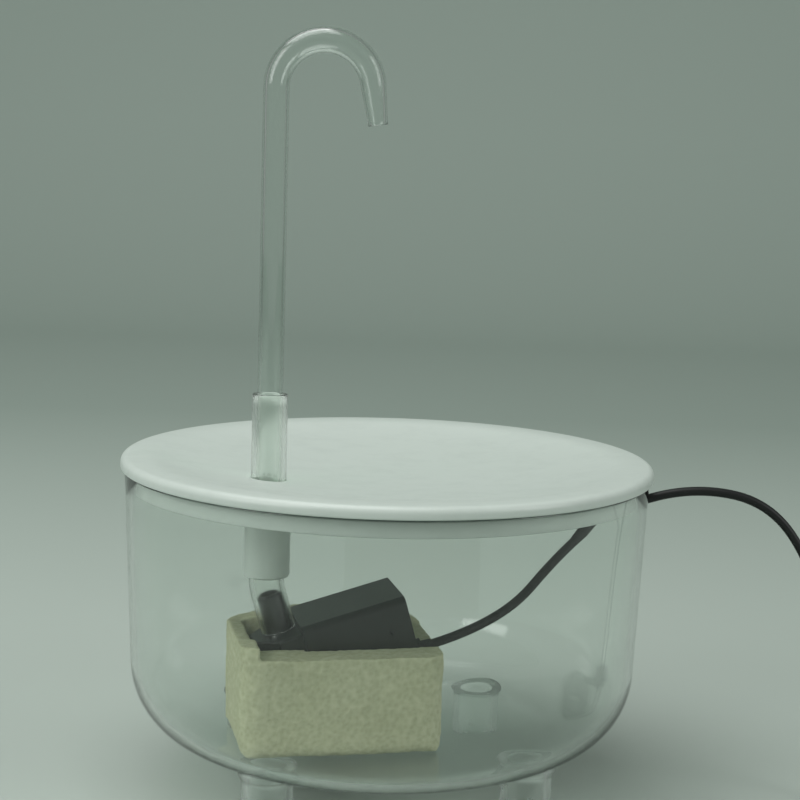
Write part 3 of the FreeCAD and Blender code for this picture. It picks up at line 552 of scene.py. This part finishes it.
socket_radius = 8.6 * MM
socket_low = lid_low.z
socket_end_round = 1.2 * MM
socket_top_inset = 0.3 * MM
socket_top = land_z - dish_depth - socket_top_inset
socket_root_height = 5.0 * MM
socket_root_middle = 3.7 * MM
socket_root_round = 1.5 * MM
socket_root_width = 1.2 * MM
socket_steps = 5
socket_sides = 96
section = [(0, socket_low)]
section += arc_points((socket_radius - socket_end_round, socket_low + socket_end_round),
                      socket_end_round, -90, 0, socket_steps)
section += [(socket_radius, socket_top - socket_root_height)]
section += arc_points((socket_radius + socket_root_round, socket_top - socket_root_middle),
                      socket_root_round, 180, 110, socket_steps)
section += [(socket_radius + socket_root_width, socket_top), (0, socket_top)]
boss = turn_profile("socket_boss", section, socket_sides, (spout_x, spout_y))
carve(lid, [boss], "UNION")

hose_radius = 6.55 * MM
socket_gap = 0.3 * MM
socket_bore = hose_radius + socket_gap
socket_bore_sides = 64
drain_radius = 1.7 * MM
drain_circle = 11.0 * MM
drain_spread = math.radians(24.0)
drain_sides = 32
drain_cut = 8.0 * MM
cut_past = 1.0 * MM


def round_cutter(radius, x, y, low, high, sides):
    """A plain cylinder between two heights, used only to cut a hole."""
    deselect()
    bpy.ops.mesh.primitive_cylinder_add(vertices=sides, radius=radius, depth=high - low,
                                        location=(x, y, (low + high) / 2))
    bpy.ops.object.transform_apply(location=True, rotation=True, scale=True)
    return bpy.context.object


cutters = [round_cutter(socket_bore, spout_x, spout_y, socket_low - cut_past, land_z, socket_bore_sides)]
for k in (-1, 0, 1):
    angle = math.pi / 2 + k * drain_spread
    x = spout_x + drain_circle * math.cos(angle)
    y = spout_y + drain_circle * math.sin(angle)
    cutters.append(round_cutter(drain_radius, x, y, socket_top - drain_cut, land_z, drain_sides))
carve(lid, cutters)

white_plastic = moulded("moulded_white_plastic", "#CCD6CF", "#C6D0C9",
                        grain_size=0.6 * MM, grain=0.06, rough=0.32)
dress(lid, white_plastic, "lid", ["lid_tray"])

# Hose: soft clear silicone, extruded, pushed over the pump's nozzle below and holding
# the spout above. It bends towards the tilted nozzle, and is slightly milky.
hose_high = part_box("delivery_hose")[1]
spout_radius = 4.75 * MM
spout_gap = 0.05 * MM
hose_bore = spout_radius + spout_gap
hose_bend = 24.0 * MM
hose_turn = math.radians(12.0)
hose_tilt = math.radians(16.0)
hose_last = 14.6 * MM
hose_rim = 0.35 * MM
hose_rings = 16
hose_bend_rings = 8
hose_last_rings = 4
tube_sides = 64
tube_rim_segments = 3
tube_rim_angle = math.radians(50)
tube_edge_angle = math.radians(40)
side = Vector((math.cos(hose_turn), math.sin(hose_turn), 0))


def pull_ring(offset, scale=1.0, middle=None):
    """Extrudes the selected ring of edges, and may narrow it."""
    bpy.ops.mesh.extrude_region_move(TRANSFORM_OT_translate={"value": tuple(offset)})
    if scale != 1.0:
        bpy.ops.transform.resize(value=(scale,) * 3, center_override=tuple(middle))


def start_tube(name, radius, z):
    """A ring of edges on the riser's axis, the start of a tube, ready in edit mode."""
    deselect()
    bpy.ops.mesh.primitive_circle_add(vertices=tube_sides, radius=radius, location=(spout_x, spout_y, z))
    bpy.ops.object.transform_apply(location=True, rotation=True, scale=True)
    tube = bpy.context.object
    tube.name = tube.data.name = name
    bpy.ops.object.mode_set(mode="EDIT")
    bpy.ops.mesh.select_all(action="SELECT")
    return tube


def give_wall(tube, wall, rim):
    """Gives an open tube its wall, inwards, and rounds the rims at its ends."""
    bpy.ops.mesh.select_all(action="SELECT")
    bpy.ops.mesh.remove_doubles(threshold=merge_gap)
    bpy.ops.mesh.normals_make_consistent(inside=False)
    bpy.ops.object.mode_set(mode="OBJECT")
    add_modifier(tube, "SOLIDIFY", thickness=wall, offset=-1, use_even_offset=True)
    add_modifier(tube, "BEVEL", width=rim, segments=tube_rim_segments, limit_method="ANGLE",
                 angle_limit=tube_rim_angle)
    bpy.ops.object.shade_smooth_by_angle(angle=tube_edge_angle)


socket_end = Vector((spout_x, spout_y, socket_low))
hose_center = socket_end + side * hose_bend
hose = start_tube("clear_hose", hose_radius, hose_high.z)
for k in range(hose_rings):
    pull_ring((0, 0, (socket_low - hose_high.z) / hose_rings))
bpy.ops.mesh.spin(steps=hose_bend_rings, angle=-hose_tilt, center=hose_center,
                  axis=side.cross(Vector((0, 0, 1))))
down = side * math.sin(hose_tilt) - Vector((0, 0, math.cos(hose_tilt)))
for k in range(hose_last_rings):
    pull_ring(down * (hose_last / hose_last_rings))
give_wall(hose, hose_radius - hose_bore, hose_rim)
clear_silicone = clear_wall("extruded_clear_silicone", "#FAFCFA", ior=1.38, rough=(0.12, 0.26),
                            ripple_size=8 * MM, ripple=0.10)
dress(hose, clear_silicone, "root", ["delivery_hose"])

# Spout: clear glass tube bent over a flame into a cane and drawn down to a narrow tip,
# with fire-polished ends. It is very clear and smooth, with the faint waves of drawn glass.
spout_wall = 1.1 * MM
spout_bend_z = rim_z + 142.0 * MM
spout_bend = 17.5 * MM
spout_turn = math.radians(171.5)
spout_tip_length = 15.3 * MM
spout_tip_radius = 3.5 * MM
spout_rim = 0.3 * MM
spout_rings = 40
spout_bend_rings = 48
spout_tip_rings = 10

spout = start_tube("glass_spout", spout_radius, spout_low.z)
for k in range(spout_rings):
    pull_ring((0, 0, (spout_bend_z - spout_low.z) / spout_rings))
spout_center = Vector((spout_x + spout_bend, spout_y, spout_bend_z))
bpy.ops.mesh.spin(steps=spout_bend_rings, angle=spout_turn, center=spout_center, axis=(0, -1, 0))
over = math.pi - spout_turn
way = Vector((math.sin(over), 0, -math.cos(over)))
bend_end = spout_center + spout_bend * Vector((math.cos(over), 0, math.sin(over)))
was = spout_radius
for k in range(spout_tip_rings):
    share = (k + 1) / spout_tip_rings
    now = spout_radius + (spout_tip_radius - spout_radius) * share
    pull_ring(way * (spout_tip_length / spout_tip_rings), now / was,
              bend_end + way * spout_tip_length * share)
    was = now
give_wall(spout, spout_wall, spout_rim)
clear_glass = clear_wall("drawn_clear_glass", "#F9FCFA", ior=1.47, rough=(0.0, 0.01),
                         ripple_size=12 * MM, ripple=0.12)
dress(spout, clear_glass, "spout", ["spout_tube"])

# Lead: a round lead with a black soft jacket. It leaves the pump by a moulded gland,
# rises over the sponge to the rim notch and arches down to the ground. The rest lies to
# the right of the bowl, in a neat coil with a tie and a plug on its end.
lead_diameter = 3.5 * MM
# The lead's route is in millimetres, and its points are listed one by one.
lead_points = [
    (18.4, -23.0, 60.31),
    (44.73, -17.40, 68.03),
    (67.0, -9.0, 94.0),
    (87.5, -0.6, 109.8),
    (118.0, 0.6, 118.8),
    (148.0, 0.0, 113.5),
    (166.0, -1.5, 88.0),
    (172.5, -3.5, 56.0),
    (174.3, -5.0, 30.0),
    (175.0, -11.5, 10.0),
    (174.9, -30.0, 2.95),
]
coil_x = 202.0
coil_y = -50.0
coil_inner = 13.0
coil_half_step = 2.35
coil_low = 2.95
coil_step_up = 4.4
coil_halves = 13
coil_climb = 6
points_per_half = 12
tail_points = [(229.1, -37.0, 7.35), (227.6, -19.0, 4.0), (227.6, -6.0, 4.0)]

coil_corners = []
for k in range(coil_halves + 1):
    if k <= coil_climb:
        r = coil_inner + (coil_climb - k) * coil_half_step
        z = coil_low
    else:
        r = coil_inner + (k - coil_climb - 1) * coil_half_step
        z = coil_low + coil_step_up
    coil_corners.append(Vector((coil_x + (r if k % 2 else -r), coil_y, z)))
coil_points = []
for k in range(coil_halves):
    a, b = coil_corners[k], coil_corners[k + 1]
    center = (a + b) / 2
    reach = a - center
    forward = Vector((0, 1 if k % 2 else -1, 0)) * reach.length
    for i in range(points_per_half):
        t = math.pi * i / points_per_half
        coil_points.append(center + reach * math.cos(t) + forward * math.sin(t))
coil_points.append(coil_corners[-1])

curve = bpy.data.curves.new("power_lead", "CURVE")
curve.dimensions = "3D"
spline = curve.splines.new("NURBS")
route = lead_points + coil_points + tail_points
spline.points.add(len(route) - 1)
for point, place in zip(spline.points, route):
    point.co = (place[0] * MM, place[1] * MM, place[2] * MM, 1)
spline.order_u = 3
spline.use_endpoint_u = True
curve.resolution_u = 12
curve.bevel_depth = lead_diameter / 2
curve.bevel_resolution = 5
curve.use_fill_caps = True
lead = bpy.data.objects.new("power_lead", curve)
bpy.context.scene.collection.objects.link(lead)

jacket = moulded("soft_black_jacket", "#0E1110", "#171B19",
                 grain_size=0.6 * MM, grain=0.3, rough=0.44, specular=0.4)
gland_rubber = moulded("moulded_black_rubber", "#101311", "#1A1E1C",
                       grain_size=0.5 * MM, grain=0.4, rough=0.5, specular=0.4)
nickel = lined_metal("nickel_plated_steel", "#C6C9CC", rough=0.22, line_size=0.6 * MM)
gilt = lined_metal("gold_plated_brass", "#D9B061", rough=0.25, line_size=0.3 * MM, along_axis="Y")
dress(lead, jacket, "root", ["power_cord", "cord_coil", "cord_tail"])
dress(node["cable_gland"], gland_rubber)
dress(node["plug_body"], jacket)
dress(node["coil_tie"], black_plastic)
dress(node["plug_tongue"], black_plastic)
dress(node["plug_shell"], nickel)
dress(node["plug_contacts"], gilt)

# Studio: plain pale paper that lies on the ground and curves up behind as a backdrop,
# with painted shade a little behind the object, three soft lamps and pale air all round.
# The paper's colours grade along the floor and up the wall as painted light and shade.
near_paper = "#B4BFB7"
painted_shade_paper = "#A3B1A8"
wall_paper = "#BBC9C0"
floor_depth = 1.6
floor_width = 6.0
wall_bend = 0.8
wall_height = 2.4
wall_bend_steps = 16
graded_from = 0.15
graded_to = 2.2
painted_shade_at = 0.4
paper_grains_per_metre = 60.0
lamp_aim = Vector((0, 0, 0.1))
air_colour = "#E4EAE6"
air_strength = 0.38


def backdrop_finish():
    """Pale matt paper with painted light and shade: a little darker behind the object and lighter again up
    the wall.
    """
    material, place = new_finish("pale_paper")
    grain = add_node(material, "TexNoise", {
        "Vector": place, "Scale": paper_grains_per_metre, "Detail": 2.0})
    bump = add_node(material, "Bump", {
        "Strength": 0.05, "Distance": 1 * MM, "Height": grain.outputs["Fac"]})
    parts = add_node(material, "SeparateXYZ", {"Vector": place})
    away = add_node(material, "MapRange", {
        "Value": parts.outputs["Y"], "From Min": graded_from, "From Max": graded_to})
    paper = add_node(material, "ValToRGB", {"Fac": away.outputs[0]})
    ramp = paper.color_ramp
    ramp.elements[0].color = linear(near_paper)
    ramp.elements[1].color = linear(wall_paper)
    # Painted shade: the paper darkens to this colour a little behind the object.
    ramp.elements.new(painted_shade_at).color = linear(painted_shade_paper)
    shader = add_node(material, "BsdfPrincipled", {
        "Base Color": paper.outputs["Color"], "Roughness": 0.9, "Specular IOR Level": 0.2,
        "Normal": bump.outputs["Normal"]})
    add_node(material, "OutputMaterial", {"Surface": shader.outputs[0]})
    return material


deselect()
bpy.ops.mesh.primitive_plane_add(size=1.0)
floor = bpy.context.object
floor.name = "studio_floor"
floor.scale = (floor_width, 2 * floor_depth, 1)
bpy.ops.object.transform_apply(location=True, rotation=True, scale=True)
select_by(floor, lambda place: place.y > 0)
bpy.ops.mesh.spin(steps=wall_bend_steps, angle=math.pi / 2, center=(0, floor_depth, wall_bend),
                  axis=(-1, 0, 0))
pull_ring((0, 0, wall_height))
bpy.ops.object.mode_set(mode="OBJECT")
bpy.ops.object.shade_smooth_by_angle(angle=edge_angle)
floor.data.materials.append(backdrop_finish())


def soft_lamp(name, place, width, height, power):
    """A rectangular soft lamp that looks at the middle of the object."""
    deselect()
    bpy.ops.object.light_add(type="AREA", location=place)
    lamp = bpy.context.object
    lamp.name = name
    lamp.data.shape = "RECTANGLE"
    lamp.data.size = width
    lamp.data.size_y = height
    lamp.data.energy = power
    lamp.rotation_euler = (lamp_aim - Vector(place)).to_track_quat("-Z", "Y").to_euler()


soft_lamp("overhead_softbox", (-0.35, -0.1, 1.4), width=1.3, height=1.1, power=11.5)
soft_lamp("left_softbox", (-1.3, -0.9, 0.9), width=0.8, height=1.1, power=8.5)
soft_lamp("right_softbox", (1.4, -0.6, 0.8), width=0.6, height=1.0, power=5.0)

world = bpy.data.worlds.new("studio_air")
bpy.context.scene.world = world
world.use_nodes = True
air = world.node_tree.nodes["Background"]
air.inputs["Color"].default_value = linear(air_colour)
air.inputs["Strength"].default_value = air_strength

# Camera: at the place that was fitted to the photograph, looking slightly down and rolled
# a little. Its focal length is measured in pixels of the photograph.
camera_place = Vector((0.0, -0.700, 0.246))
camera_yaw = math.radians(0.33)
camera_pitch = math.radians(7.87)
camera_roll = math.radians(1.71)
focal_pixels = 1849.0
photo_pixels = 800.0
sensor_mm = 36.0

level_right = Vector((math.cos(camera_yaw), -math.sin(camera_yaw), 0))
level_forward = Vector((math.sin(camera_yaw), math.cos(camera_yaw), 0))
forward = level_forward * math.cos(camera_pitch) - Vector((0, 0, math.sin(camera_pitch)))
level_up = Vector((0, 0, math.cos(camera_pitch))) + level_forward * math.sin(camera_pitch)
right = level_right * math.cos(camera_roll) + level_up * math.sin(camera_roll)
up = level_up * math.cos(camera_roll) - level_right * math.sin(camera_roll)
lens = bpy.data.cameras.new("photo_camera")
camera = bpy.data.objects.new("photo_camera", lens)
bpy.context.scene.collection.objects.link(camera)
lens.sensor_width = sensor_mm
lens.lens = sensor_mm * focal_pixels / photo_pixels
lens.clip_start = 0.01
camera.matrix_world = Matrix.Translation(camera_place) @ Matrix((right, up, -forward)).transposed().to_4x4()
bpy.context.scene.camera = camera
bpy.context.scene.view_settings.view_transform = "Standard"
